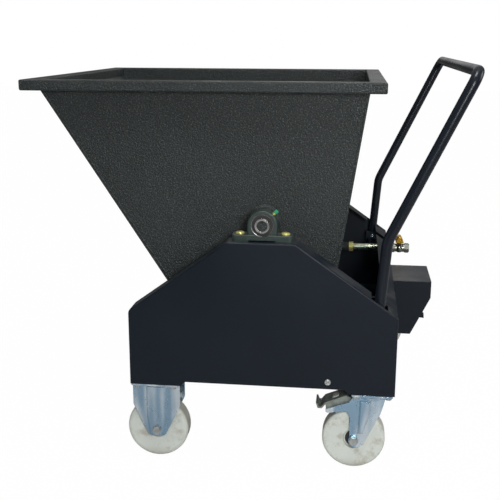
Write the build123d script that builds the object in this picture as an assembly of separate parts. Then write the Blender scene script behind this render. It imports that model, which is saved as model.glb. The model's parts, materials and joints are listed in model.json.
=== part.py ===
"""Tipping hopper cart for chips, feed or scrap, in millimetres.

A wedge-shaped sheet-steel hopper hangs on two trunnions in pillow-block bearings, on top of two
folded side panels. Two fixed castors in front and two braked swivel castors behind carry the
frame, which is pushed by a bent tube handle. A drain pipe with a ball valve leaves the hopper's
lowest corner, and a hook lever in a housing on the rear panel locks the hopper.

+X points to the handle, +Y to the operator's right when facing the hopper from the handle's side,
and +Z up. Lengths along X are counted from the trunnion axis and moved by `trunnion_x` on export,
so that the origin is on the floor under the middle of the whole cart.
"""
from build123d import *
from math import atan2, cos, degrees, radians, sin, sqrt
import os

# ---------------------------------------------------------------- driving dimensions
wheel_radius, wheel_half_width = 75.0, 23.0
castor_head = 50.0            # castor's top face above its wheel
foot = 2 * wheel_radius + castor_head        # the frame stands on the castors

frame_half_width = 460.0      # outer face of a side panel
sheet = 3.0                   # folded frame sheet
flange = 56.0                 # inward fold of a side panel
fold_radius = 3.5
panel_front_x, panel_rear_x = -314.0, 314.0
panel_foot_z, panel_belly_z = foot, foot + 11.0
front_shoulder_z, rear_shoulder_z = foot + 185.0, foot + 192.0
panel_top_half = 78.5         # half length of the level top that carries a bearing
panel_top_z = foot + 356.5
front_foot_length, rear_foot_length = 122.0, 106.0
flange_end_x = 252.0          # the slope's fold stops in front of the handle

base_plate_thickness = 6.0
base_web_height = 34.0
front_base_x = (-309.0, -196.0)
rear_base_x = (203.0, 311.0)

brace_x, brace_z, brace_radius = 158.0, foot + 30.0, 10.0

bearing_y = frame_half_width - 36.0          # middle plane of a bearing
bearing_rise = 36.5           # bearing axis above its foot
bearing_length, bearing_width, bearing_foot = 140.0, 38.0, 15.0
bearing_bolt_spacing = 105.0
shaft_radius = 12.5
bearing_outer_radius, bearing_inner_radius = 26.0, 17.0
seal_radius = 24.8
housing_radius, housing_width = 34.5, 30.0

rim_front_x, rim_rear_x = -569.0, 271.0
rim_half_width = frame_half_width - 55.0
rim_width, rim_height, rim_wall = 40.0, 25.0, 2.5
hopper_height = 563.0         # floor's underside to the rim's top
hopper_sheet = 3.0
hopper_floor_z = foot + 150.0                # underside of the hopper's floor
rim_top_z = hopper_floor_z + hopper_height
floor_front_x, floor_rear_x = -181.0, 151.0
hopper_bend = 8.0

tube_radius, tube_wall = 12.7, 2.5
handle_half_width = frame_half_width - 25.0
handle_foot = (265.0, foot + 130.0)
handle_knee = (283.0, foot + 365.0)
handle_top = (461.0, foot + 740.0)
knee_radius, corner_radius = 70.0, 32.0

drain_y, drain_z = rim_half_width - 95.0, hopper_floor_z + 20.0
pipe_radius, pipe_bore = 10.0, 7.5        # 20 mm pipe
coupling_x, coupling_flats = (196.0, 209.0), 28.0
notch_half = 25.0
valve_x = (324.0, 382.0)
valve_centre_x = 352.0
ball_valve_radius, cavity_radius = 10.5, 10.7
valve_bore, valve_flats = 7.0, 27.0
stem_radius, stem_top = 3.5, 17.0
outlet_radius, outlet_depth = 9.3, 14.0
strainer_half, strainer_gap, strainer_rise, strainer_sheet = 48.0, 26.0, 38.0, 2.0

housing_half_width = 83.0
housing_reach, housing_low_reach = 105.0, 55.0
housing_heights = (foot + 25.0, foot + 129.0, foot + 174.0)
housing_sheet = 2.0
lever_thickness = 10.0
lever_pivot = (345.0, foot + 95.0)
lever_tip_x = 126.0
striker_pin = (120.0, foot + 112.0)
pin_radius = 6.0
tab_slot_z = (foot + 33.0, foot + 72.0)

castor_y = frame_half_width - 55.0
front_castor_x, rear_castor_x = -256.0, 262.0
castor_sheet = 5.0
front_plate, front_holes = (116.0, 102.0), (88.0, 82.0)
rear_plate, rear_holes = (96.0, 108.0), (76.0, 84.0)
rib_taper = 50.0              # slope of a pressed rib's flanks
hub_radius = 20.0
sleeve_radius = 10.0
axle_radius = 6.0
fork_gap_half, fork_sheet, fork_rib = 27.0, 4.0, 3.5
trail = 40.0                  # swivel axis to wheel axle
brake_pivot = (8.0, 2 * wheel_radius + 13.0)  # along X from the axle, and above the floor
swivel_gap = 0.6

running = 0.1                 # radial clearance of a turning fit
touch = 0.3                   # gap that keeps two moving neighbours apart
bolt_radius, bolt_flats = 5.0, 17.0                      # M10
bolt_head, bolt_head_radius = 4.0, 10.5
screw_radius, screw_flats = 4.0, 13.0                    # M8
screw_head, screw_nut = 5.3, 6.5

# ---------------------------------------------------------------- derived places
trunnion_z = panel_top_z + bearing_rise
inner_face_y = frame_half_width - sheet
flange_edge_y = frame_half_width - flange
rim_bottom_z = rim_top_z - rim_height
mouth_front_x, mouth_rear_x = rim_front_x + rim_width, rim_rear_x - rim_width
wall_y = rim_half_width - rim_width          # inner face of a hopper side wall
floor_inner_z = hopper_floor_z + hopper_sheet
fork_top_z = panel_foot_z - castor_sheet
trunnion_x = -(rim_front_x + handle_top[0] + tube_radius) / 2
slope = (panel_top_z - rear_shoulder_z) / (panel_rear_x - panel_top_half)
CENTRE_BOTTOM = (Align.CENTER, Align.CENTER, Align.MIN)


def slope_z(x):
    """Height of the side panels' rear slope at x."""
    return panel_top_z - slope * (x - panel_top_half)


def front_wall_x(z):
    """Inner face of the hopper's front wall at height z."""
    share = (rim_bottom_z - z) / (rim_bottom_z - floor_inner_z)
    return mouth_front_x + (floor_front_x - mouth_front_x) * share


def rear_wall_x(z):
    """Inner face of the hopper's rear wall at height z."""
    share = (rim_bottom_z - z) / (rim_bottom_z - floor_inner_z)
    return mouth_rear_x + (floor_rear_x - mouth_rear_x) * share


# ---------------------------------------------------------------- building blocks
def slab(sketch, y0, y1):
    """A sketch drawn in X and Z, as a plate from y0 to y1."""
    return extrude(Plane.XZ.offset(-y1) * sketch, amount=y1 - y0, dir=(0, -1, 0))


def section(*points):
    """A polygon given by its corners."""
    return Polygon(*points, align=None)


def disc(x, z, radius):
    return Pos(x, z) * Circle(radius)


def across(sketch, x0, x1):
    """A sketch drawn in Y and Z, as a plate from x0 to x1."""
    return extrude(Plane.YZ.offset(x0) * sketch, amount=x1 - x0, dir=(1, 0, 0))


def lying(sketch, z0, z1):
    """A sketch drawn in X and Y, as a plate from z0 to z1."""
    return extrude(Pos(0, 0, z0) * sketch, amount=z1 - z0, dir=(0, 0, 1))


def rod_x(y, z, radius, x0, x1):
    return Pos(x0, y, z) * Rot(0, 90, 0) * Cylinder(radius, x1 - x0, align=CENTRE_BOTTOM)


def rod_y(x, z, radius, y0, y1):
    return slab(disc(x, z, radius), y0, y1)


def rod_z(x, y, radius, z0, z1):
    return Pos(x, y, z0) * Cylinder(radius, z1 - z0, align=CENTRE_BOTTOM)


def block(x0, x1, y0, y1, z0, z1):
    return Pos(x0, y0, z0) * Box(x1 - x0, y1 - y0, z1 - z0, align=(Align.MIN,) * 3)


def hexagon(flats):
    return RegularPolygon(flats / 2 / cos(radians(30)), 6)


def other_side(part):
    """The same piece on the other side of the cart."""
    return mirror(part, about=Plane.XZ)


def both_sides(part):
    return [*part.solids(), *other_side(part).solids()]


def spun(profile):
    """A profile of (radius, offset) points turned about the Y axis."""
    ring = revolve(Plane.XZ * section(*profile), Axis.Z)
    return Rot(90, 0, 0) * ring


def write(name, *pieces):
    """Writes one node, moved to the cart's frame."""
    solids = [s for piece in pieces for s in (piece if isinstance(piece, list) else piece.solids())]
    shape = Compound(children=[Pos(trunnion_x, 0, 0) * s for s in solids])
    export_step(shape, f"parts/{name}.step")


# ---------------------------------------------------------------- frame
def side_panel():
    """The right panel: one folded sheet with an inward flange along its edges."""
    corners = [
        (panel_front_x, panel_foot_z),
        (panel_front_x, front_shoulder_z),
        (-panel_top_half, panel_top_z),
        (panel_top_half, panel_top_z),
        (panel_rear_x, rear_shoulder_z),
        (panel_rear_x, panel_foot_z),
        (panel_rear_x - rear_foot_length, panel_foot_z),
        (panel_rear_x - rear_foot_length - (panel_belly_z - panel_foot_z), panel_belly_z),
        (panel_front_x + front_foot_length + (panel_belly_z - panel_foot_z), panel_belly_z),
        (panel_front_x + front_foot_length, panel_foot_z),
    ]
    outline = section(*corners)
    shoulder = outline.vertices().sort_by_distance((panel_front_x, front_shoulder_z, 0))[0]
    outline = fillet(shoulder, 16)
    tops = [v for v in outline.vertices() if abs(v.Y - panel_top_z) < 1]
    outline = fillet(tops, 9)
    outer = slab(outline, flange_edge_y, frame_half_width)
    face = outer.faces().sort_by(Axis.Y)[-1]
    outer = fillet(face.edges(), fold_radius)
    inner = slab(offset(outline, amount=-sheet, kind=Kind.INTERSECTION), flange_edge_y - 1, inner_face_y)
    panel = outer - inner
    opening_z = panel_belly_z + sheet + 0.1
    front_open = panel_front_x + front_foot_length + 14
    rear_open = panel_rear_x - rear_foot_length - 14
    panel -= block(panel_front_x + sheet, front_open, flange_edge_y - 1, inner_face_y, 0, opening_z)
    panel -= block(rear_open, panel_rear_x + 1, flange_edge_y - 1, inner_face_y, 0, opening_z)
    panel -= block(panel_rear_x - 2 * sheet, panel_rear_x + 1, flange_edge_y - 1, inner_face_y,
                   0, rear_shoulder_z - 2 * sheet)
    panel -= block(flange_end_x, panel_rear_x + 1, flange_edge_y - 1, inner_face_y,
                   foot + 150, panel_top_z)
    for x in (-bearing_bolt_spacing / 2, bearing_bolt_spacing / 2):
        panel -= rod_z(x, bearing_y, bolt_radius + 0.5, panel_top_z - 10, panel_top_z + 5)
    panel -= rod_y(brace_x, brace_z, screw_radius + 0.3, inner_face_y - 5, frame_half_width + 5)
    return panel


def rear_panel():
    """Rear closing sheet with a lip folded forward along the slope."""
    lip_x = handle_foot[0] + 14
    drop = sheet * sqrt(1 + slope**2)
    back = panel_rear_x - sheet
    low = panel_foot_z + base_plate_thickness
    profile = section(
        (lip_x, slope_z(lip_x)), (panel_rear_x, rear_shoulder_z), (panel_rear_x, low),
        (back, low), (back, slope_z(back) - drop), (lip_x, slope_z(lip_x) - drop),
    )
    panel = slab(profile, -inner_face_y, inner_face_y)
    panel += block(back - 18, back, -330, 330, low, low + sheet)
    for side in (-1, 1):
        y0, y1 = sorted((side * (handle_half_width - tube_radius - 4), side * (inner_face_y + 1)))
        panel -= block(lip_x - 1, lip_x + 12, y0, y1, rear_shoulder_z, panel_top_z)
    y0, y1 = drain_y - notch_half, drain_y + notch_half
    panel -= block(lip_x - 1, panel_rear_x + 1, y0, y1, drain_z - notch_half, panel_top_z)
    half = lever_thickness / 2 + 3.5
    panel -= block(back - 1, panel_rear_x + 1, -half, half, lever_pivot[1] - 24, lever_pivot[1] + 22)
    return panel


def base_plate(x_range, bolts, web_at_front):
    """Cross plate under the frame that carries two castors, with one upturned web."""
    x0, x1 = x_range
    top = panel_foot_z + base_plate_thickness
    plate = block(x0, x1, -inner_face_y, inner_face_y, panel_foot_z, top)
    web_x = x0 if web_at_front else x1 - base_plate_thickness
    reach = flange_edge_y - 1
    plate += block(web_x, web_x + base_plate_thickness, -reach, reach, top, top + base_web_height)
    for x, y in bolts:
        plate -= rod_z(x, y, screw_radius + 0.5, panel_foot_z - 1, top + 1)
    return plate


def cross_brace():
    bar = rod_y(brace_x, brace_z, brace_radius, -inner_face_y, inner_face_y)
    for side in (-1, 1):
        y0, y1 = sorted((side * (inner_face_y - 22), side * (inner_face_y + 1)))
        bar -= rod_y(brace_x, brace_z, screw_radius, y0, y1)
    return bar


def brace_bolt():
    """M8 button-head screw through a side panel into the brace."""
    head = rod_y(brace_x, brace_z, 7.5, frame_half_width, frame_half_width + 4)
    head = fillet(head.faces().sort_by(Axis.Y)[-1].edges(), 2.5)
    socket = slab(Pos(brace_x, brace_z) * hexagon(5), frame_half_width + 2, frame_half_width + 5)
    shank = rod_y(brace_x, brace_z, screw_radius - 0.05, inner_face_y - 20, frame_half_width)
    return head + shank - socket


def handle_line():
    (x0, z0), (x1, z1), (x2, z2) = handle_foot, handle_knee, handle_top
    y = handle_half_width
    corners = [(x0, -y, z0), (x1, -y, z1), (x2, -y, z2), (x2, y, z2), (x1, y, z1), (x0, y, z0)]
    radii = [knee_radius, corner_radius, corner_radius, knee_radius]
    return FilletPolyline(*corners, radius=radii)


def push_handle():
    """One bent tube, both ends clamped inside the side panels."""
    line = handle_line()
    start = Plane(origin=line @ 0, z_dir=line % 0)
    ring = Circle(tube_radius) - Circle(tube_radius - tube_wall)
    return sweep(start * ring, path=line)


def leg_direction():
    (x0, z0), (x1, z1) = handle_foot, handle_knee
    length = sqrt((x1 - x0) ** 2 + (z1 - z0) ** 2)
    return (x1 - x0) / length, (z1 - z0) / length


clamp_heights = (foot + 146.0, foot + 182.0)
clamp_half, clamp_height = 19.0, 22.0


def leg_x_at(z):
    ux, uz = leg_direction()
    return handle_foot[0] + (z - handle_foot[1]) * ux / uz


def handle_clamps():
    """Two clamp blocks for the right leg, welded to the panel."""
    ux, uz = leg_direction()
    lean = degrees(atan2(ux, uz))
    bore = Pos(handle_foot[0], handle_half_width, handle_foot[1]) * Rot(0, lean, 0)
    bore = bore * Cylinder(tube_radius + 0.05, 400)
    made = []
    for z in clamp_heights:
        x = leg_x_at(z)
        half = clamp_height / 2
        body = block(x - clamp_half, x + clamp_half, handle_half_width - 18, inner_face_y,
                     z - half, z + half)
        made.append(body - bore)
    return made


def handle_screws():
    """Set screws that pinch the right leg in its clamps."""
    made = []
    for z in clamp_heights:
        x = leg_x_at(z)
        face = handle_half_width - 18
        tip = handle_half_width - tube_radius - 0.05
        screw = rod_y(x, z, 3, face, tip - 0.1) + rod_y(x, z, 5.5, face - 5, face)
        screw -= slab(Pos(x, z) * hexagon(5), face - 6, face - 2)
        made.append(screw)
    return made


def handle_clamps_bored():
    """The clamp blocks with their screw holes."""
    made = []
    for z, body in zip(clamp_heights, handle_clamps()):
        hole = rod_y(leg_x_at(z), z, 3.05, handle_half_width - 20, handle_half_width)
        made.append(body - hole)
    return made


# ---------------------------------------------------------------- bearings
def pillow_block():
    """Cast housing of the right bearing."""
    foot_top = panel_top_z + bearing_foot
    y0, y1 = bearing_y - bearing_width / 2, bearing_y + bearing_width / 2
    foot = block(-bearing_length / 2, bearing_length / 2, y0, y1, panel_top_z, foot_top)
    foot = fillet(foot.edges().filter_by(Axis.Z), 9)
    foot = fillet(foot.faces().sort_by(Axis.Z)[-1].edges(), 2)
    c0, c1 = bearing_y - housing_width / 2, bearing_y + housing_width / 2
    side = housing_radius - 0.6
    shoulders = section((-side, panel_top_z + 4), (side, panel_top_z + 4), (side, trunnion_z),
                        (-side, trunnion_z))
    body = slab(disc(0, trunnion_z, housing_radius) + shoulders, c0, c1)
    body = fillet(body.faces().sort_by(Axis.Y)[0].edges(), 2.5)
    body = fillet(body.faces().sort_by(Axis.Y)[-1].edges(), 2.5)
    housing = foot + body
    housing -= rod_y(0, trunnion_z, bearing_outer_radius, y0 - 1, y1 + 1)
    housing -= block(-31, 31, y0 - 1, y1 + 1, panel_top_z - 1, panel_top_z + 3)
    for x in (-bearing_bolt_spacing / 2, bearing_bolt_spacing / 2):
        housing -= rod_z(x, bearing_y, bolt_radius + 1.5, panel_top_z - 1, foot_top + 1)
    housing -= nipple_rod(2.5, bearing_outer_radius - 2, housing_radius + 4)
    return housing


def nipple_rod(radius, r0, r1):
    """A rod on the right bearing's grease port, 45 degrees above the horizontal."""
    placed = Pos(0, bearing_y, trunnion_z) * Rot(0, 45, 0) * Pos(0, 0, r0)
    return placed * Cylinder(radius, r1 - r0, align=CENTRE_BOTTOM)


def grease_nipple():
    body = nipple_rod(2.45, housing_radius - 5, housing_radius + 1)
    body += nipple_rod(4, housing_radius + 0.1, housing_radius + 4)
    body += nipple_rod(3, housing_radius + 4, housing_radius + 8)
    cap = nipple_rod(4.6, housing_radius + 5, housing_radius + 12) \
        - nipple_rod(3.1, housing_radius + 4, housing_radius + 8.2)
    return body, cap


ball_pitch, ball_radius, ball_count = 19.9, 3.9, 9
groove_radius = ball_radius + running


def groove():
    return Pos(0, bearing_y, trunnion_z) * Rot(90, 0, 0) * Torus(ball_pitch, groove_radius)


def bearing_outer_ring():
    ring = rod_y(0, trunnion_z, bearing_outer_radius, bearing_y - 11.5, bearing_y + 11.5)
    ring -= rod_y(0, trunnion_z, 22.6, bearing_y - 12, bearing_y + 12)
    ring -= rod_y(0, trunnion_z, seal_radius, bearing_y + 9, bearing_y + 12)
    ring -= rod_y(0, trunnion_z, seal_radius, bearing_y - 12, bearing_y - 9)
    return ring - groove()


def bearing_inner_ring():
    """Inner ring, longer towards the outside of the cart."""
    ring = rod_y(0, trunnion_z, bearing_inner_radius, bearing_y - 14.3, bearing_y + 19.5)
    ring -= rod_y(0, trunnion_z, shaft_radius, bearing_y - 15, bearing_y + 20)
    return ring - groove()


def bearing_balls():
    made = []
    for i in range(ball_count):
        turn = radians(360 / ball_count * i)
        x, z = ball_pitch * sin(turn), ball_pitch * cos(turn)
        made.append(Pos(x, bearing_y, trunnion_z + z) * Sphere(ball_radius))
    return made


def bearing_seals():
    made = []
    for y in (bearing_y - 10.2, bearing_y + 9):
        ring = rod_y(0, trunnion_z, seal_radius, y, y + 1.2)
        made.append(ring - rod_y(0, trunnion_z, bearing_inner_radius + touch, y - 1, y + 2))
    return made


def round_bolt(x, y, seat_z, grip):
    """M10 round-head bolt pointing down through `grip` of material, with its nut."""
    head = rod_z(x, y, bolt_head_radius, seat_z, seat_z + bolt_head)
    head = fillet(head.faces().sort_by(Axis.Z)[-1].edges(), bolt_head - 0.8)
    head -= lying(Pos(x, y) * hexagon(6), seat_z + 1.2, seat_z + bolt_head + 1)
    bolt = head + rod_z(x, y, bolt_radius, seat_z - grip - 12, seat_z)
    nut_z = seat_z - grip - 8.4
    nut = lying(Pos(x, y) * hexagon(bolt_flats), nut_z, seat_z - grip)
    nut -= rod_z(x, y, bolt_radius, nut_z - 1, seat_z)
    return [*bolt.solids(), *nut.solids()]


def bearing_bolts():
    made = []
    for x in (-bearing_bolt_spacing / 2, bearing_bolt_spacing / 2):
        for side in (-1, 1):
            made += round_bolt(x, side * bearing_y, panel_top_z + bearing_foot, bearing_foot + sheet)
    return made


# ---------------------------------------------------------------- hopper
def hopper_profile(grow):
    """Section of the hopper, `grow` outside its inner faces, up to the rim's underside."""
    front_run = (floor_front_x - mouth_front_x) / (rim_bottom_z - floor_inner_z)
    rear_run = (mouth_rear_x - floor_rear_x) / (rim_bottom_z - floor_inner_z)
    low = floor_inner_z - grow
    front = grow * sqrt(1 + front_run**2)
    rear = grow * sqrt(1 + rear_run**2)
    top = rim_bottom_z + (0 if grow else 40)
    outline = section(
        (front_wall_x(top) - front, top), (front_wall_x(low) - front, low),
        (rear_wall_x(low) + rear, low), (rear_wall_x(top) + rear, top),
    )
    bends = [v for v in outline.vertices() if v.Y < low + 1]
    return fillet(bends, hopper_bend + grow)


def hopper_wrap():
    """Front wall, floor and rear wall, folded from one sheet."""
    shell = slab(hopper_profile(hopper_sheet), -wall_y, wall_y)
    shell -= slab(hopper_profile(0), -wall_y - 1, wall_y + 1)
    return shell - rod_x(drain_y, drain_z, pipe_bore, 100, 200)


def hopper_side():
    return slab(hopper_profile(hopper_sheet), wall_y, wall_y + hopper_sheet)


def rim_tube(length):
    """A mitred rectangular tube along X, with its inner lower edge as the datum."""
    half = length / 2
    tube = block(-half, half, 0, rim_width, rim_bottom_z, rim_top_z)
    long_edges = tube.edges().filter_by(Axis.X)
    tube = fillet([e for e in long_edges if e.center().Y > 1 or e.center().Z > rim_top_z - 1], 4)
    w = rim_wall
    tube -= block(-half - 1, half + 1, w, rim_width - w, rim_bottom_z + w, rim_top_z - w)
    for side in (-1, 1):
        corner = side * half
        inner = corner - side * rim_width
        wedge = section((inner, -1), (inner, 0), (corner, rim_width), (corner + side, rim_width + 1),
                        (corner + side * 2, -1))
        tube -= lying(wedge, rim_bottom_z - 1, rim_top_z + 1)
    return tube


def hopper_rim():
    """Four mitred tubes round the mouth."""
    long, wide = rim_rear_x - rim_front_x, 2 * rim_half_width
    middle = (rim_front_x + rim_rear_x) / 2
    side = Pos(middle, wall_y, 0) * rim_tube(long)
    front = Pos(mouth_front_x, 0, 0) * Rot(0, 0, 90) * rim_tube(wide)
    rear = Pos(mouth_rear_x, 0, 0) * Rot(0, 0, -90) * rim_tube(wide)
    return [*both_sides(side), *front.solids(), *rear.solids()]


def trunnion():
    """Stub shaft on a round weld pad, right side."""
    side = wall_y + hopper_sheet
    pad = rod_y(0, trunnion_z, 33, side, side + 8)
    pad = chamfer(pad.faces().sort_by(Axis.Y)[-1].edges(), 2)
    shaft = rod_y(0, trunnion_z, 17, side + 8, bearing_y - 16)
    return pad + shaft + chamfer_end(rod_y(0, trunnion_z, shaft_radius, bearing_y - 16, bearing_y + 18))


def chamfer_end(shaft):
    return chamfer(shaft.faces().sort_by(Axis.Y)[-1].edges(), 1)


lug_x, lug_z = (92.0, 128.0), (foot + 240.0, foot + 258.0)


def rest_lug():
    """Lug on the hopper's right side that rests on the frame's pad."""
    side = wall_y + hopper_sheet
    lug = block(*lug_x, side, side + 34, *lug_z)
    return fillet(lug.edges().filter_by(Axis.Y), 4)


pad_height = 12.0


def rest_bracket():
    """Angle bracket inside the right panel, under the lug."""
    top = lug_z[0] - touch - pad_height
    x0, x1 = lug_x[0] - 6, lug_x[1] + 6
    y0 = wall_y + hopper_sheet + 10
    middle = (x0 + x1) / 2
    shelf = block(x0, x1, y0, inner_face_y, top - 5, top)
    web = section((y0 + 6, top - 5), (inner_face_y, top - 5), (inner_face_y, top - 60))
    return shelf + across(web, middle - 3, middle + 3)


def rest_pad():
    top = lug_z[0] - touch
    middle = sum(lug_x) / 2
    y = wall_y + hopper_sheet + 26
    pad = rod_z(middle, y, 14, top - pad_height, top)
    return chamfer(pad.faces().sort_by(Axis.Z)[-1].edges(), 1.5)


def front_buffer():
    """Rubber buffer that the tipped front wall lands on, right side."""
    z = panel_foot_z + base_plate_thickness
    y = wall_y - 60
    x = front_base_x[0] + 24
    cone = Pos(x, y, z) * Cone(20, 14, 14, align=CENTRE_BOTTOM)
    return fillet(cone.faces().sort_by(Axis.Z)[-1].edges(), 3)


def latch_striker():
    """Pin between two ears under the hopper's floor."""
    x, z = striker_pin
    ear_y, ear = lever_thickness / 2 + 7, 5
    pin = rod_y(x, z, pin_radius, -ear_y - ear, ear_y + ear)
    plate = section((x - 26, hopper_floor_z), (x + 14, hopper_floor_z), (x + 8, z), (x - 8, z))
    made = pin
    for side in (-1, 1):
        y0, y1 = sorted((side * ear_y, side * (ear_y + ear)))
        made += slab(plate + disc(x, z, 9), y0, y1)
    return made


# ---------------------------------------------------------------- drain
def wall_outside_x(z):
    run = (mouth_rear_x - floor_rear_x) / (rim_bottom_z - floor_inner_z)
    return rear_wall_x(z) + hopper_sheet * sqrt(1 + run**2)


def drain_stub():
    """Socket welded to the hopper's rear wall."""
    stub = rod_x(drain_y, drain_z, 12.5, wall_outside_x(drain_z) - 8, coupling_x[0])
    stub -= slab(hopper_profile(hopper_sheet), -wall_y, wall_y)
    return stub - rod_x(drain_y, drain_z, pipe_bore, 100, 300)


def drain_coupling():
    """Hexagon nut between the socket and the pipe."""
    x0, x1 = coupling_x
    nut = across(Pos(drain_y, drain_z) * hexagon(coupling_flats), x0, x1)
    nut = nut & rod_x(drain_y, drain_z, coupling_flats / 2 + 1.4, x0, x1)
    return nut - rod_x(drain_y, drain_z, pipe_bore, x0 - 1, x1 + 1)


def drain_pipe():
    pipe = rod_x(drain_y, drain_z, pipe_radius, coupling_x[1], valve_x[0])
    return pipe - rod_x(drain_y, drain_z, pipe_bore, coupling_x[1] - 1, valve_x[0] + 1)


def valve_body():
    """Ball valve body with hexagon ends and a stem neck."""
    x0, x1 = valve_x
    middle = valve_centre_x
    body = Pos(middle, drain_y, drain_z) * Sphere(15)
    body += rod_x(drain_y, drain_z, 12.8, x0, x1)
    for a, b in ((x0, x0 + 13), (x1 - 14, x1 - 2)):
        body += across(Pos(drain_y, drain_z) * hexagon(valve_flats), a, b)
    body += rod_z(middle, drain_y, 6.5, drain_z, drain_z + stem_top)
    body -= Pos(middle, drain_y, drain_z) * Sphere(cavity_radius)
    body -= rod_x(drain_y, drain_z, valve_bore, x0 - 1, x1 + 1)
    body -= rod_x(drain_y, drain_z, outlet_radius, x1 - outlet_depth, x1 + 1)
    return body - rod_z(middle, drain_y, stem_radius + running, drain_z, drain_z + stem_top + 1)


def valve_ball():
    """Ball and stem, turned by the handle."""
    x, y, z = valve_centre_x, drain_y, drain_z
    ball = Pos(x, y, z) * Sphere(ball_valve_radius)
    stem = rod_z(x, y, stem_radius, z, z + stem_top + 9)
    return ball + stem - rod_y(x, z, valve_bore, y - 12, y + 12)


def valve_handle():
    """Butterfly handle, across the pipe when the valve is shut."""
    x, y = valve_centre_x, drain_y
    z = drain_z + stem_top + touch
    hub = rod_z(x, y, 7, z, z + 8)
    wing = section((-13, 2), (13, 2), (9, 10), (3, 20), (-3, 20), (-9, 10))
    wing = fillet(wing.vertices(), 1.2)
    handle = hub
    for side in (-1, 1):
        y0, y1 = sorted((y + side * 5, y + side * 22))
        arm = slab(Pos(x, z) * wing, y0, y1)
        taper = block(x - 14, x + 14, min(y, y + side * 30), max(y, y + side * 30), z - 1, z + 2)
        handle += arm - taper
    return handle - rod_z(x, y, stem_radius, z - 1, z + 30)


def valve_handle_nut():
    x, y = valve_centre_x, drain_y
    z = drain_z + stem_top + touch + 8
    return rod_z(x, y, 4.9, z, z + 4) - rod_z(x, y, stem_radius, z - 1, z + 5)


def drain_strainer():
    """Perforated angle over the drain hole, in the hopper's rear lower corner."""
    half, thick = strainer_half, strainer_sheet
    x0 = rear_wall_x(drain_z) - strainer_gap
    z0, z1 = floor_inner_z, drain_z + strainer_rise
    front = block(x0 - thick, x0, drain_y - half, drain_y + half, z0, z1)
    lid = section((x0 - thick, z1), (rear_wall_x(z1), z1), (rear_wall_x(z1 - thick), z1 - thick),
                  (x0 - thick, z1 - thick))
    guard = front + slab(lid, drain_y - half, drain_y + half)
    for row in range(5):
        for column in range(6):
            y = drain_y + (column - 2.5) * 13.5
            z = z0 + 12 + row * 13
            guard -= rod_x(y, z, 3, x0 - 10, x0 + 5)
    return guard


# ---------------------------------------------------------------- latch
def latch_housing():
    """Folded cover on the rear panel, with a slot for the lever's tab."""
    x, t = panel_rear_x, housing_sheet
    low, waist, high = housing_heights
    outline = section((x, high), (x + housing_reach, high), (x + housing_reach, waist),
                      (x + housing_low_reach, low), (x, low))
    outer = slab(outline, -housing_half_width, housing_half_width)
    inner_outline = offset(outline, amount=-t, kind=Kind.INTERSECTION)
    inner_outline += section((x - 1, low + t), (x + 2 * t, low + t), (x + 2 * t, high - t),
                             (x - 1, high - t))
    cover = outer - slab(inner_outline, -housing_half_width + t, housing_half_width - t)
    half = lever_thickness / 2 + 2
    return cover - block(x + 52, x + housing_reach + 10, -half, half, *tab_slot_z)


def latch_brackets():
    """Two ears on the rear panel that hold the lever's pin."""
    x, z = lever_pivot
    made = []
    for side in (-1, 1):
        y0, y1 = sorted((side * 18, side * 22))
        ear = section((panel_rear_x, z - 22), (panel_rear_x, z + 22), (x + 4, z + 14), (x + 14, z),
                      (x + 4, z - 14))
        made += (slab(ear, y0, y1) - rod_y(x, z, pin_radius, y0 - 1, y1 + 1)).solids()
    return made


def latch_pin():
    """Headed pivot pin with a split-pin hole."""
    x, z = lever_pivot
    pin = rod_y(x, z, pin_radius, -30, 30) + rod_y(x, z, 9, 30, 33)
    return pin - rod_z(x, -26, 1.6, z - 10, z + 10)


def latch_lever():
    """Hook lever: a tooth in front, a bored hub, and a finger tab behind."""
    x, z = lever_pivot
    tip = lever_tip_x
    tooth = striker_pin[0] + pin_radius + 3
    arm = section(
        (tip, z - 19), (tip, z - 9), (tooth, z), (tooth + 13, z + 1), (tooth + 18, z - 6),
        (x - 20, z + 11), (x, z + 15), (x + 16, z + 2), (x + 38, z - 31), (x + 65, z - 35),
        (x + 66, z - 49), (x + 34, z - 45), (x + 8, z - 14), (x - 20, z - 13),
    )
    arm = fillet(arm.vertices(), 1.5)
    half = lever_thickness / 2
    lever = slab(arm, -half, half)
    lever += rod_y(x, z, 14, -half - 8, half + 8)
    return lever - rod_y(x, z, pin_radius + running, -30, 30)


# ---------------------------------------------------------------- castors
def bolt_places(castor_x, holes):
    spread_x, spread_y = holes[0] / 2, holes[1] / 2
    return [(castor_x + i * spread_x, side * castor_y + j * spread_y)
            for side in (-1, 1) for i in (-1, 1) for j in (-1, 1)]


def castor_top_plates(castor_x, size, holes):
    """Left and right top plates of one pair of castors."""
    made = []
    for y in (-castor_y, castor_y):
        half_x, half_y = size[0] / 2, size[1] / 2
        plate = block(castor_x - half_x, castor_x + half_x, y - half_y, y + half_y,
                      fork_top_z, panel_foot_z)
        plate = fillet(plate.edges().filter_by(Axis.Z), 7)
        for bolt_x, bolt_y in bolt_places(castor_x, holes):
            plate -= rod_z(bolt_x, bolt_y, screw_radius + 0.5, fork_top_z - 1, panel_foot_z + 1)
        made += plate.solids()
    return made


def castor_bolts():
    """Bolts from above, with their nuts under the castor plates."""
    made = []
    top = panel_foot_z + base_plate_thickness
    nut_z = fork_top_z - screw_nut
    for castor_x, holes in ((front_castor_x, front_holes), (rear_castor_x, rear_holes)):
        for x, y in bolt_places(castor_x, holes):
            head = lying(Pos(x, y) * hexagon(screw_flats), top, top + screw_head)
            bolt = head + rod_z(x, y, screw_radius, nut_z - 1, top)
            nut = lying(Pos(x, y) * hexagon(screw_flats), nut_z, fork_top_z)
            nut -= rod_z(x, y, screw_radius, nut_z - 1, top)
            made += [*bolt.solids(), *nut.solids()]
    return made


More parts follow.
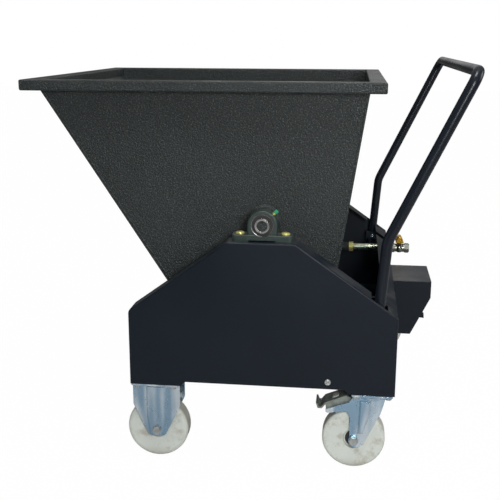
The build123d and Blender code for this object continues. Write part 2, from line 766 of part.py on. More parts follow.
def fork_leg(outline, rib, side):
    """One fork side with a pressed rib; side is -1 or 1 across the wheel."""
    inner, outer = fork_gap_half, fork_gap_half + fork_sheet
    y0, y1 = sorted((side * inner, side * outer))
    face = Plane.XZ.offset(-side * outer) * rib
    raised = extrude(face, amount=fork_rib, dir=(0, side, 0), taper=rib_taper)
    return slab(outline, y0, y1) + raised


def fixed_fork():
    """Fork of a fixed castor about the wheel's axle, without its top plate."""
    z = wheel_radius
    half = front_plate[0] / 2
    waist, tip = 2 * z - 12, z - 19
    outline = section((-half, fork_top_z), (-half, waist), (-19, tip), (19, tip), (half, waist),
                      (half, fork_top_z))
    low = [v for v in outline.vertices() if v.Y < z]
    outline = fillet(low, 16)
    mid = [v for v in outline.vertices() if abs(v.Y - waist) < 1]
    outline = fillet(mid, 12)
    rib = section((-25, fork_top_z - 5), (-25, z + 35), (-18, tip + 4), (18, tip + 4), (25, z + 35),
                  (25, fork_top_z - 5))
    fork = fork_leg(outline, rib, -1) + fork_leg(outline, rib, 1)
    outer = fork_gap_half + fork_sheet
    fork += block(-half, half, -outer, outer, fork_top_z - fork_sheet, fork_top_z)
    return fork - rod_y(0, z, axle_radius + running, -40, 40)


def axle_bolt():
    """Axle bolt and nut about the wheel's axle."""
    z = wheel_radius
    outer = fork_gap_half + fork_sheet + fork_rib
    head = slab(Pos(0, z) * hexagon(19), -outer - 7.5, -outer)
    bolt = head + rod_y(0, z, axle_radius, -outer, outer + 13)
    bolt += rod_y(0, z, 9.4, -outer - 8.2, -outer - 7.5)
    nut = slab(Pos(0, z) * hexagon(19), outer, outer + 10)
    nut -= rod_y(0, z, axle_radius, outer - 1, outer + 11)
    return [*bolt.solids(), *nut.solids()]


def axle_sleeve():
    z = wheel_radius
    tube = rod_y(0, z, sleeve_radius, -fork_gap_half, fork_gap_half)
    return (tube - rod_y(0, z, axle_radius, -40, 40)).solids()


def wheel():
    """Solid nylon wheel with a recessed web."""
    half, r = wheel_half_width, wheel_radius
    right = [(hub_radius, half - 5), (23, half - 5), (25, half), (r - 9, half), (r - 4, half - 1),
             (r - 1, half - 3.5), (r, half - 7)]
    left = [(a, -b) for a, b in reversed(right)]
    return Pos(0, 0, r) * spun(right + left)


def wheel_bearings():
    """A sealed ring at each end of the hub."""
    made = []
    for y in (-wheel_half_width + 4, wheel_half_width - 16):
        ring = rod_y(0, wheel_radius, hub_radius, y, y + 12)
        made += (ring - rod_y(0, wheel_radius, sleeve_radius + running, y - 1, y + 13)).solids()
    return made


def swivel_fork():
    """Fork of a swivel castor, about the wheel's axle, trailing its swivel axis by `trail`."""
    z = wheel_radius
    top = fork_top_z - 11
    right = trail + 31
    tread, tip = 2 * z, z - 19
    outline = section(
        (-68, tread - 8), (-68, tread + 1), (-14, tread + 21), (-4, top), (right, top),
        (right - 2, top - 12), (right - 10, tread - 6), (23, tip + 10), (14, tip), (-4, tip),
        (-10, tip + 10), (-10, tread - 14), (-18, tread - 3),
    )
    for corner, radius in (((14, tip), 9), ((-4, tip), 9), ((-10, tread - 14), 8),
                           ((-68, tread - 8), 4), ((right - 10, tread - 6), 20)):
        spot = outline.vertices().sort_by_distance((*corner, 0))[0]
        outline = fillet(spot, radius)
    rib = section((12, top - 6), (9, z + 17), (22, z + 17), (37, tread - 8), (40, top - 6))
    fork = fork_leg(outline, rib, -1) + fork_leg(outline, rib, 1)
    outer = fork_gap_half + fork_sheet
    for side in (-1, 1):
        y0, y1 = sorted((side * outer, side * (outer + fork_rib)))
        fork += rod_y(0, z, 12, y0, y1)
    deck = block(4, right, -outer, outer, top - fork_sheet, top)
    fork += deck + rod_z(trail, 0, 36, top - fork_sheet, top + 3)
    fork -= rod_z(trail, 0, 8 + running, top - 20, top + 10)
    fork -= rod_y(0, z, axle_radius + running, -40, 40)
    x, zp = brake_pivot
    return fork - rod_y(x, zp, 4, -40, 40)


def swivel_head():
    """Upper race and kingpin under a swivel castor's top plate, about the swivel axis."""
    top = fork_top_z
    race = Cylinder(44, 3, align=CENTRE_BOTTOM)
    race = fillet(race.edges(), 1.2)
    head = Pos(0, 0, top - 3) * race
    head += Pos(0, 0, top - 8 + swivel_gap) * Cone(36, 40, 5 - swivel_gap, align=CENTRE_BOTTOM)
    head += rod_z(0, 0, 8, top - 22, top - 3)
    return head + rod_z(0, 0, 13, top - 22, top - 15 - swivel_gap)


def brake_pin():
    x, z = brake_pivot
    outer = fork_gap_half + fork_sheet
    return rod_y(x, z, 3.95, -outer - 1.5, outer + 1.5)


def brake_pedal():
    """Pressed pedal with a curled tip and a brake block over the tread."""
    half = fork_gap_half - 2
    x, z = brake_pivot
    tread = Pos(0, 2 * wheel_radius)
    skin = section((13, 24), (-20, 36), (-70, 15.5), (-79, 4), (-83.5, 3.5), (-88, 14),
                   (-91.5, 13), (-87, 0), (-77, 0), (-68, 11.5), (-20, 32), (13, 20))
    pedal = slab(tread * skin, -half, half)
    skirt = section((13, 23), (-20, 35), (-69, 15), (-67, -2), (-24, 12), (2, 6), (14, 6))
    for side in (-1, 1):
        y0, y1 = sorted((side * (half - 3), side * half))
        pedal += slab(tread * skirt, y0, y1)
    brake = section((-26, 32), (-10, 30), (-8, 7), (-27, 7))
    pedal += slab(tread * brake, -14, 14)
    return pedal - rod_y(x, z, 4 + running, -40, 40)


def placed(piece, x, y, flip=False):
    """Moves a piece drawn about its wheel or swivel axis to (x, y); flip turns it half round."""
    spot = Pos(x, y, 0) * Rot(0, 0, 180 if flip else 0)
    if isinstance(piece, list):
        return [spot * p for p in piece]
    return spot * piece


# ---------------------------------------------------------------- all nodes
def main():
    os.makedirs("parts", exist_ok=True)
    panel = side_panel()
    write("side_panel_right", panel)
    write("side_panel_left", other_side(panel))
    write("rear_panel", rear_panel())
    front_bolts = bolt_places(front_castor_x, front_holes)
    rear_bolts = bolt_places(rear_castor_x, rear_holes)
    write("front_base_plate", base_plate(front_base_x, front_bolts, False))
    write("rear_base_plate", base_plate(rear_base_x, rear_bolts, True))
    write("cross_brace", cross_brace())
    write("brace_bolts", both_sides(brace_bolt()))
    write("push_handle", push_handle())
    write("handle_clamps", *[both_sides(c) for c in handle_clamps_bored()])
    write("handle_screws", *[both_sides(s) for s in handle_screws()])

    housing = pillow_block()
    write("pillow_block_right", housing)
    write("pillow_block_left", other_side(housing))
    write("bearing_outer_rings", both_sides(bearing_outer_ring()))
    write("bearing_balls", *[both_sides(b) for b in bearing_balls()])
    write("bearing_seals", *[both_sides(s) for s in bearing_seals()])
    nipple, cap = grease_nipple()
    write("grease_nipples", both_sides(nipple))
    write("grease_caps", both_sides(cap))
    write("bearing_bolts", bearing_bolts())

    write("hopper_wrap", hopper_wrap())
    side = hopper_side()
    write("hopper_side_right", side)
    write("hopper_side_left", other_side(side))
    write("hopper_rim", hopper_rim())
    stub = trunnion()
    write("trunnion_right", stub)
    write("trunnion_left", other_side(stub))
    write("bearing_inner_rings", both_sides(bearing_inner_ring()))
    write("rest_lugs", both_sides(rest_lug()))
    write("rest_brackets", both_sides(rest_bracket()))
    write("rubber_buffers", both_sides(rest_pad()), both_sides(front_buffer()))
    write("latch_striker", latch_striker())

    write("drain_stub", drain_stub())
    write("drain_coupling", drain_coupling())
    write("drain_pipe", drain_pipe())
    write("drain_valve_body", valve_body())
    write("drain_strainer", drain_strainer())
    write("valve_ball", valve_ball())
    write("valve_handle", valve_handle(), valve_handle_nut())

    write("latch_housing", latch_housing())
    write("latch_brackets", latch_brackets())
    write("latch_pin", latch_pin())
    write("latch_lever", latch_lever())

    sides = (("left", -1), ("right", 1))
    write("castor_plates", castor_top_plates(front_castor_x, front_plate, front_holes),
          castor_top_plates(rear_castor_x, rear_plate, rear_holes))
    write("castor_bolts", castor_bolts())
    write("front_axles", *[placed(axle_bolt() + axle_sleeve(), front_castor_x, s * castor_y, s > 0)
                           for _, s in sides])
    write("swivel_heads", *[placed(swivel_head(), rear_castor_x, s * castor_y) for _, s in sides])
    for name, s in sides:
        y = s * castor_y
        turned = s > 0
        write(f"front_fork_{name}", placed(fixed_fork(), front_castor_x, y, turned))
        write(f"front_wheel_{name}", placed(wheel(), front_castor_x, y, turned))
        write(f"front_bearings_{name}", placed(wheel_bearings(), front_castor_x, y, turned))
        axle_x = rear_castor_x + (trail if turned else -trail)
        write(f"rear_fork_{name}", placed(swivel_fork(), axle_x, y, turned),
              placed(brake_pin(), axle_x, y, turned))
        write(f"rear_axle_{name}", placed(axle_bolt() + axle_sleeve(), axle_x, y, turned))
        write(f"rear_wheel_{name}", placed(wheel(), axle_x, y, turned))
        write(f"rear_bearings_{name}", placed(wheel_bearings(), axle_x, y, turned))
        write(f"brake_pedal_{name}", placed(brake_pedal(), axle_x, y, turned))


if __name__ == "__main__":
    main()
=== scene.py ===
"""Tipping hopper cart: finishes, welds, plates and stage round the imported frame."""
import json
import math

import bpy
from bpy.props import FloatProperty, FloatVectorProperty, PointerProperty
from bpy.types import Operator, Panel, PropertyGroup
from mathutils import Matrix, Vector


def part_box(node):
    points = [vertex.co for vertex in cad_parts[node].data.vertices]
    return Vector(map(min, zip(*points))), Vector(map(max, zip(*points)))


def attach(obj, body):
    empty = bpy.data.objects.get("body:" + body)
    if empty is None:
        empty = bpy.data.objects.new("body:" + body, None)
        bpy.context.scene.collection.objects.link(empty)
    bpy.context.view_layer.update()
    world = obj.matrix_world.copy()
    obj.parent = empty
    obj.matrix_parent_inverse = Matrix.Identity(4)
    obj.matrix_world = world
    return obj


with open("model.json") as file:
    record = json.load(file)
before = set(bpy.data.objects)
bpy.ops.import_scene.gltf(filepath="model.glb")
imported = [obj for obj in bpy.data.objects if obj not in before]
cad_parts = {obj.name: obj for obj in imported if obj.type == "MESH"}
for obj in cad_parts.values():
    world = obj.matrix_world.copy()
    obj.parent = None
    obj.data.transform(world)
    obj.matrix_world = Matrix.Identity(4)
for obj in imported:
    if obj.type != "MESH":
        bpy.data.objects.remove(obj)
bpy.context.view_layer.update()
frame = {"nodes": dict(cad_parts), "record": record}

bl_info = {
    "name": "Tipping Hopper Cart",
    "version": (1, 0, 0),
    "blender": (4, 5, 0),
    "location": "View3D > Sidebar > Hopper Cart",
    "description": "Paint, plating, welds and stage for a tipping hopper cart",
    "category": "Object",
}


def box_of(node):
    """Lowest and highest corners of a frame node at rest."""
    low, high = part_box(node)
    return Vector(low), Vector(high)


# ---------------------------------------------------------------- settings
def colour(name, description, value):
    return FloatVectorProperty(name=name, description=description, default=value, subtype="COLOR",
                               size=3, min=0.0, max=1.0)


class CartFinish(PropertyGroup):
    """Colours and grain of the cart's paints and metals."""
    hopper_paint: colour("Hopper Paint", "Coarse textured paint of the hopper",
                         (0.0095, 0.0128, 0.0128))
    # Pale specks in the hopper paint: partly the paint's own grain, partly painted glints.
    hopper_speck_glint: colour("Hopper Speck", "Pale glints in the textured paint",
                         (0.085, 0.102, 0.098))
    frame_paint: colour("Frame Paint", "Smooth paint of panels and housings",
                        (0.0030, 0.0066, 0.0118))
    handle_paint: colour("Handle Paint", "Paint of the push handle", (0.0060, 0.0085, 0.0130))
    zinc: colour("Zinc", "Plating of the castors", (0.72, 0.81, 0.87))
    yellow_zinc: colour("Yellow Zinc", "Plating of pipe and bolts", (0.62, 0.58, 0.20))
    iron_green: colour("Bearing Green", "Enamel of the bearing housings", (0.008, 0.020, 0.016))
    nylon: colour("Nylon", "Castor wheels", (0.60, 0.64, 0.59))
    # The stain colour also paints the shade on the wheels' tread and rim rounding.
    nylon_stain_and_shade: colour("Nylon Stain", "Rolled-in dirt on the wheels", (0.30, 0.25, 0.18))
    pedal: colour("Brake Pedal", "Greyed plating of the brake pedals", (0.27, 0.30, 0.27))
    valve_gold: colour("Valve Handle", "Butterfly handle of the drain valve", (0.62, 0.36, 0.04))
    cap_green: colour("Grease Cap", "Soft cap on the grease nipples", (0.015, 0.30, 0.14))
    grain_size: FloatProperty(name="Grain Size", description="Spacing of the textured paint's grain",
                              default=0.0035, min=0.001, max=0.02, unit="LENGTH")
    peel_size: FloatProperty(name="Peel Size", description="Waviness of the smooth paint",
                             default=0.006, min=0.001, max=0.02, unit="LENGTH")


class CartWelds(PropertyGroup):
    """Sizes of the weld beads."""
    bead: FloatProperty(name="Bead Radius", description="Half the width of a fillet weld",
                        default=0.0032, min=0.001, max=0.01, unit="LENGTH")
    ripple: FloatProperty(name="Ripple", description="Spacing of a weld's ripples", default=0.005,
                          min=0.002, max=0.02, unit="LENGTH")


class CartPlates(PropertyGroup):
    """Blank plates on the brake pedals."""
    length: FloatProperty(name="Length", description="Plate along the pedal", default=0.015,
                          min=0.005, max=0.04, unit="LENGTH")
    width: FloatProperty(name="Width", description="Plate across the pedal", default=0.024,
                         min=0.005, max=0.05, unit="LENGTH")
    thick: FloatProperty(name="Thickness", description="Plate thickness", default=0.0024,
                         min=0.0005, max=0.01, unit="LENGTH")
    from_tip: FloatProperty(name="From Tip", description="Pedal tip to the plate's middle",
                            default=0.0465, min=0.0, max=0.1, unit="LENGTH")
    drop: FloatProperty(name="Drop", description="Plate's middle below the pedal's top",
                        default=0.0098, min=0.0, max=0.05, unit="LENGTH")
    slope: FloatProperty(name="Slope", description="Lean of the pedal's long face",
                         default=math.radians(22.3), subtype="ANGLE")


class CartStage(PropertyGroup):
    """Camera, lights and floor."""
    camera_place: FloatVectorProperty(name="Camera Place", description="Where the camera stands",
                                      default=(0.24792, -2.3133, 1.00915), subtype="TRANSLATION",
                                      unit="LENGTH")
    camera_turn: FloatProperty(name="Camera Turn", description="Turn to the left of straight ahead",
                               default=math.radians(6.93), subtype="ANGLE")
    camera_tilt: FloatProperty(name="Camera Tilt", description="Tilt below the horizontal",
                               default=math.radians(14.07), subtype="ANGLE")
    camera_roll: FloatProperty(name="Camera Roll", description="Roll about the line of sight",
                               default=math.radians(0.17), subtype="ANGLE")
    lens: FloatProperty(name="Lens", description="Focal length in millimetres", default=61.2,
                        min=20, max=200)
    horizon: FloatProperty(name="Horizon", description="Brightness of the studio's walls",
                           default=0.07, min=0, max=5)
    ceiling: FloatProperty(name="Ceiling", description="Brightness of the studio's ceiling",
                           default=0.35, min=0, max=5)
    key: FloatProperty(name="Key Light", description="Power of the soft light beside the camera",
                       default=33, min=0, max=1000, unit="POWER")
    top: FloatProperty(name="Top Light", description="Power of the light overhead",
                       default=46, min=0, max=1000, unit="POWER")
    edge: FloatProperty(name="Edge Lights", description="Power of the lights at the sides",
                        default=14, min=0, max=1000, unit="POWER")
    floor_grey: FloatProperty(name="Floor", description="How pale the floor is to the lights",
                              default=0.45, min=0, max=1)
    floor_glow: FloatProperty(name="Floor Glow", description="Share of plain white in the floor",
                              default=0.99, min=0, max=1)


# ---------------------------------------------------------------- material tools
def new_group(name, inputs, outputs):
    """An empty shader group with named sockets; returns it with its input and output nodes."""
    group = bpy.data.node_groups.new(name, "ShaderNodeTree")
    for label, kind, value in inputs:
        socket = group.interface.new_socket(name=label, in_out="INPUT", socket_type=kind)
        socket.default_value = value
    for label, kind in outputs:
        group.interface.new_socket(name=label, in_out="OUTPUT", socket_type=kind)
    return group, group.nodes.new("NodeGroupInput"), group.nodes.new("NodeGroupOutput")


def add(tree, kind, settings=None, **inputs):
    """Adds a node; each input is a value or the socket to link from."""
    node = tree.nodes.new(kind)
    for key, value in (settings or {}).items():
        setattr(node, key, value)
    for key, value in inputs.items():
        feed(tree, node.inputs[key.replace("_", " ")], value)
    return node


def feed(tree, socket, value):
    if isinstance(value, bpy.types.NodeSocket):
        tree.links.new(value, socket)
    else:
        socket.default_value = value


def maths(tree, operation, first, second=0.0):
    node = tree.nodes.new("ShaderNodeMath")
    node.operation = operation
    feed(tree, node.inputs[0], first)
    feed(tree, node.inputs[1], second)
    return node.outputs[0]


def mix_colours(tree, share, first, second, blend="MIX"):
    node = tree.nodes.new("ShaderNodeMix")
    node.data_type = "RGBA"
    node.blend_type = blend
    feed(tree, node.inputs["Factor"], share)
    feed(tree, node.inputs[6], first)
    feed(tree, node.inputs[7], second)
    return node.outputs[2]


def spread(tree, value, low, high, to_low=0.0, to_high=1.0):
    """Maps low..high to to_low..to_high, smoothly and clamped."""
    node = tree.nodes.new("ShaderNodeMapRange")
    node.interpolation_type = "SMOOTHSTEP"
    for i, number in enumerate((value, low, high, to_low, to_high)):
        feed(tree, node.inputs[i], number)
    return node.outputs[0]


def rgba(value):
    return (*value[:3], 1.0)


def group_textured_paint():
    """Coarse grained paint: lumps for the bump, and a mask of pale specks, partly the paint's grain,
    partly painted glints.
    """
    group, start, end = new_group(
        "Textured Paint",
        [("Size", "NodeSocketFloat", 0.004), ("Speck Share", "NodeSocketFloat", 0.3)],
        [("Height", "NodeSocketFloat"), ("Glint Specks", "NodeSocketFloat"),
         ("Drift", "NodeSocketFloat")])
    place = add(group, "ShaderNodeTexCoord").outputs["Object"]
    scale = maths(group, "DIVIDE", 1.0, start.outputs["Size"])
    lumps = add(group, "ShaderNodeTexNoise", Vector=place, Scale=scale, Detail=3.0, Roughness=0.55)
    cells = add(group, "ShaderNodeTexVoronoi", {"feature": "SMOOTH_F1"}, Vector=place,
                Scale=maths(group, "MULTIPLY", scale, 0.8), Smoothness=0.6)
    height = maths(group, "SUBTRACT", spread(group, lumps.outputs["Fac"], 0.38, 0.64),
                   maths(group, "MULTIPLY", cells.outputs["Distance"], 0.9))
    fine = add(group, "ShaderNodeTexNoise", Vector=place, Scale=maths(group, "MULTIPLY", scale, 1.15),
               Detail=1.0)
    wide = add(group, "ShaderNodeTexNoise", Vector=place, Scale=3.2, Detail=3.0)
    wanted = maths(group, "MULTIPLY", start.outputs["Speck Share"], 0.4)
    edge = maths(group, "SUBTRACT", 0.72, wanted)
    specks = spread(group, fine.outputs["Fac"], edge, maths(group, "ADD", edge, 0.16))
    group.links.new(height, end.inputs["Height"])
    group.links.new(specks, end.inputs["Glint Specks"])
    group.links.new(wide.outputs["Fac"], end.inputs["Drift"])
    return group


def group_smooth_paint():
    """Satin powder coat: orange peel, slow colour drift and fine scuffs."""
    group, start, end = new_group(
        "Satin Paint",
        [("Size", "NodeSocketFloat", 0.006), ("Seed", "NodeSocketFloat", 0.0)],
        [("Height", "NodeSocketFloat"), ("Drift", "NodeSocketFloat"),
         ("Scuffs", "NodeSocketFloat")])
    place = add(group, "ShaderNodeTexCoord").outputs["Object"]
    peel = add(group, "ShaderNodeTexNoise", {"noise_dimensions": "4D"}, Vector=place,
               W=start.outputs["Seed"], Scale=maths(group, "DIVIDE", 1.0, start.outputs["Size"]),
               Detail=1.0)
    wide = add(group, "ShaderNodeTexNoise", {"noise_dimensions": "4D"}, Vector=place,
               W=start.outputs["Seed"], Scale=4.0, Detail=4.0)
    turned = add(group, "ShaderNodeMapping", Vector=place, Rotation=(0.4, 0.7, 0.3),
                 Scale=(9, 160, 40))
    lines = add(group, "ShaderNodeTexNoise", Vector=turned.outputs["Vector"], Scale=1.0,
                Detail=2.0)
    patch = spread(group, wide.outputs["Fac"], 0.56, 0.72)
    scuffs = maths(group, "MULTIPLY", spread(group, lines.outputs["Fac"], 0.66, 0.74), patch)
    group.links.new(peel.outputs["Fac"], end.inputs["Height"])
    group.links.new(wide.outputs["Fac"], end.inputs["Drift"])
    group.links.new(scuffs, end.inputs["Scuffs"])
    return group


def group_dust():
    """Dust on the faces that look up at rest; it stays with the part as it turns."""
    group, start, end = new_group(
        "Settled Dust",
        [("Amount", "NodeSocketFloat", 0.3)],
        [("Mask", "NodeSocketFloat")])
    place = add(group, "ShaderNodeTexCoord")
    up = add(group, "ShaderNodeSeparateXYZ", Vector=place.outputs["Normal"])
    flat = spread(group, up.outputs["Z"], 0.55, 0.98)
    clouds = add(group, "ShaderNodeTexNoise", Vector=place.outputs["Object"], Scale=14.0,
                 Detail=6.0, Roughness=0.65)
    mask = maths(group, "MULTIPLY", flat, spread(group, clouds.outputs["Fac"], 0.40, 0.75))
    group.links.new(maths(group, "MULTIPLY", mask, start.outputs["Amount"]), end.inputs["Mask"])
    return group


def group_plating():
    """Plated steel: bright and dull clouds, fine rolling lines and small spots."""
    group, start, end = new_group(
        "Plated Steel",
        [("Cloud Scale", "NodeSocketFloat", 25.0), ("Spot Scale", "NodeSocketFloat", 220.0)],
        [("Clouds", "NodeSocketFloat"), ("Spots", "NodeSocketFloat"),
         ("Height", "NodeSocketFloat")])
    place = add(group, "ShaderNodeTexCoord").outputs["Object"]
    clouds = add(group, "ShaderNodeTexNoise", Vector=place, Scale=start.outputs["Cloud Scale"],
                 Detail=5.0, Roughness=0.6)
    spots = add(group, "ShaderNodeTexNoise", Vector=place, Scale=start.outputs["Spot Scale"],
                Detail=3.0)
    drawn = add(group, "ShaderNodeMapping", Vector=place, Scale=(40, 40, 900))
    lines = add(group, "ShaderNodeTexNoise", Vector=drawn.outputs["Vector"], Scale=1.0, Detail=2.0)
    group.links.new(spread(group, clouds.outputs["Fac"], 0.35, 0.65), end.inputs["Clouds"])
    group.links.new(spread(group, spots.outputs["Fac"], 0.60, 0.72), end.inputs["Spots"])
    group.links.new(maths(group, "ADD", lines.outputs["Fac"], spots.outputs["Fac"]),
                    end.inputs["Height"])
    return group


GROUPS = {}
FINISHES = {}


def use(tree, name, **inputs):
    """Places a shared group in a material."""
    node = tree.nodes.new("ShaderNodeGroup")
    node.node_tree = GROUPS[name]
    for key, value in inputs.items():
        feed(tree, node.inputs[key.replace("_", " ")], value)
    return node.outputs


def new_material(name, roughness=0.5, metallic=0.0, **fixed):
    """A material with one Principled shader; `fixed` are that shader's own values."""
    made = bpy.data.materials.new(name)
    made.use_nodes = True
    shader = made.node_tree.nodes["Principled BSDF"]
    shader.inputs["Roughness"].default_value = roughness
    shader.inputs["Metallic"].default_value = metallic
    for key, value in fixed.items():
        shader.inputs[key.replace("_", " ")].default_value = value
    return made, made.node_tree, shader


def bump(tree, shader, height, strength, distance, edge=0.0):
    """Bump from a height; with `edge`, sharp edges shade as if rounded to that radius."""
    node = add(tree, "ShaderNodeBump", Strength=strength, Distance=distance, Height=height)
    if edge:
        round_edge = add(tree, "ShaderNodeBevel", {"samples": 4}, Radius=edge)
        tree.links.new(round_edge.outputs["Normal"], node.inputs["Normal"])
    tree.links.new(node.outputs["Normal"], shader.inputs["Normal"])


DUST = (0.20, 0.19, 0.17, 1.0)


def hopper_paint(finish):
    made, tree, shader = new_material("Hopper textured paint", Specular_IOR_Level=0.4)
    grain = use(tree, "Textured Paint", Size=finish.grain_size, Speck_Share=0.42)
    base = mix_colours(tree, spread(tree, grain["Drift"], 0.3, 0.7, 0.25, 0.75),
                       rgba([c * 0.8 for c in finish.hopper_paint]),
                       rgba([c * 1.45 for c in finish.hopper_paint]))
    # Pale specks painted into the colour: partly real grain, partly painted glints.
    base = mix_colours(tree, maths(tree, "MULTIPLY", grain["Glint Specks"], 0.75), base,
                       rgba(finish.hopper_speck_glint))
    base = mix_colours(tree, use(tree, "Settled Dust", Amount=0.35)["Mask"], base, DUST)
    tree.links.new(base, shader.inputs["Base Color"])
    tree.links.new(spread(tree, grain["Glint Specks"], 0.0, 1.0, 0.44, 0.30), shader.inputs["Roughness"])
    bump(tree, shader, grain["Height"], 0.75, 0.0011, 0.0012)
    return made


def satin_paint(finish, name, tint, roughness, seed, dust=0.25):
    made, tree, shader = new_material(name, roughness, Specular_IOR_Level=0.24)
    skin = use(tree, "Satin Paint", Size=finish.peel_size, Seed=seed)
    base = mix_colours(tree, skin["Drift"], rgba([c * 0.85 for c in tint]),
                       rgba([c * 1.25 for c in tint]))
    base = mix_colours(tree, maths(tree, "MULTIPLY", skin["Scuffs"], 0.35), base,
                       rgba([c * 4 for c in tint]))
    base = mix_colours(tree, use(tree, "Settled Dust", Amount=dust)["Mask"], base, DUST)
    tree.links.new(base, shader.inputs["Base Color"])
    rough = spread(tree, skin["Drift"], 0.35, 0.7, roughness - 0.05, roughness + 0.08)
    tree.links.new(rough, shader.inputs["Roughness"])
    bump(tree, shader, skin["Height"], 0.22, 0.0004, 0.0016)
    return made


def plated(name, tint, roughness, dull=0.72, cloud_scale=25.0, metallic=0.9, reflection_bands=None,
           spotty=0.3):
    """Plated or ground metal; `reflection_bands` is the stretch of its painted light and shaded
    reflection stripes, partly uneven plating tint.
    """
    made, tree, shader = new_material(name, roughness, metallic)
    skin = use(tree, "Plated Steel", Cloud_Scale=cloud_scale, Spot_Scale=220.0)
    base = mix_colours(tree, skin["Clouds"], rgba([c * dull for c in tint]), rgba(tint))
    # Painted reflection: stretched light and shaded stripes in the colour, partly uneven plating
    # tint.
    if reflection_bands:
        place = add(tree, "ShaderNodeTexCoord").outputs["Object"]
        laid = add(tree, "ShaderNodeMapping", Vector=place, Scale=reflection_bands)
        wave = add(tree, "ShaderNodeTexNoise", Vector=laid.outputs["Vector"], Scale=1.0,
                   Detail=1.0)
        painted_dark_stripe = (tint[0] * 0.40, tint[1] * 0.53, tint[2] * 0.64, 1.0)
        base = mix_colours(tree, spread(tree, wave.outputs["Fac"], 0.60, 0.40), base, painted_dark_stripe)
    base = mix_colours(tree, maths(tree, "MULTIPLY", skin["Spots"], spotty), base,
                       rgba([c * 0.45 for c in tint]))
    tree.links.new(base, shader.inputs["Base Color"])
    tree.links.new(spread(tree, skin["Clouds"], 0, 1, roughness + 0.12, roughness - 0.06),
                   shader.inputs["Roughness"])
    bump(tree, shader, skin["Height"], 0.10, 0.0002, 0.0012)
    return made


def cast_enamel(finish):
    made, tree, shader = new_material("Bearing enamel on cast iron", 0.4, Coat_Weight=0.35,
                                      Coat_Roughness=0.2)
    grain = use(tree, "Textured Paint", Size=0.0022, Speck_Share=0.2)
    base = mix_colours(tree, grain["Drift"], rgba([c * 0.7 for c in finish.iron_green]),
                       rgba([c * 1.5 for c in finish.iron_green]))
    base = mix_colours(tree, use(tree, "Settled Dust", Amount=0.5)["Mask"], base, DUST)
    tree.links.new(base, shader.inputs["Base Color"])
    bump(tree, shader, grain["Height"], 0.35, 0.0006)
    return made


def wheel_nylon(finish):
    """Off-white nylon with random stains and flecks, darker towards the bottom, and painted shade on
    the tread and rim rounding, partly real dirt from rolling.
    """
    made, tree, shader = new_material("Wheel nylon", 0.42, Subsurface_Weight=0.08,
                                      Subsurface_Radius=(0.004, 0.004, 0.003))
    place = add(tree, "ShaderNodeTexCoord").outputs["Object"]
    clouds = add(tree, "ShaderNodeTexNoise", Vector=place, Scale=26.0, Detail=7.0, Roughness=0.7)
    flecks = add(tree, "ShaderNodeTexNoise", Vector=place, Scale=150.0, Detail=4.0, Roughness=0.6)
    stain = maths(tree, "MULTIPLY", spread(tree, clouds.outputs["Fac"], 0.48, 0.66), 0.55)
    fleck = maths(tree, "MULTIPLY", spread(tree, flecks.outputs["Fac"], 0.60, 0.72), 0.45)
    # Darker towards the bottom of the wheel.
    low = add(tree, "ShaderNodeSeparateXYZ", Vector=place).outputs["Z"]
    share = maths(tree, "MAXIMUM", stain, fleck)
    share = maths(tree, "MAXIMUM", share, spread(tree, low, 0.030, 0.0, 0.0, 0.4))
    # Painted shade on the tread and rim rounding, partly dirt from rolling: faces that don't look
    # sideways go darker.
    facing = add(tree, "ShaderNodeSeparateXYZ",
                 Vector=add(tree, "ShaderNodeTexCoord").outputs["Normal"])
    rim_shade_and_dirt = spread(tree, maths(tree, "ABSOLUTE", facing.outputs["Y"]), 0.97, 0.55, 0.0, 0.4)
    share = maths(tree, "MAXIMUM", share, rim_shade_and_dirt)
    base = mix_colours(tree, share, rgba(finish.nylon), rgba(finish.nylon_stain_and_shade))
    tree.links.new(base, shader.inputs["Base Color"])
    tree.links.new(spread(tree, share, 0, 1, 0.38, 0.7), shader.inputs["Roughness"])
    bump(tree, shader, flecks.outputs["Fac"], 0.2, 0.0004)
    return made


def black_rubber():
    made, tree, shader = new_material("Buffer rubber", 0.75)
    grain = use(tree, "Textured Paint", Size=0.0015, Speck_Share=0.1)
    base = mix_colours(tree, grain["Drift"], (0.012, 0.012, 0.012, 1), (0.03, 0.03, 0.029, 1))
    tree.links.new(base, shader.inputs["Base Color"])
    bump(tree, shader, grain["Height"], 0.3, 0.0003)
    return made


def soft_cap(finish):
    made, tree, shader = new_material("Grease cap plastic", 0.35)
    skin = use(tree, "Satin Paint", Size=0.003, Seed=4.0)
    base = mix_colours(tree, skin["Drift"], rgba([c * 0.8 for c in finish.cap_green]),
                       rgba([min(1, c * 1.2) for c in finish.cap_green]))
    tree.links.new(base, shader.inputs["Base Color"])
    bump(tree, shader, skin["Height"], 0.1, 0.0002)
    return made


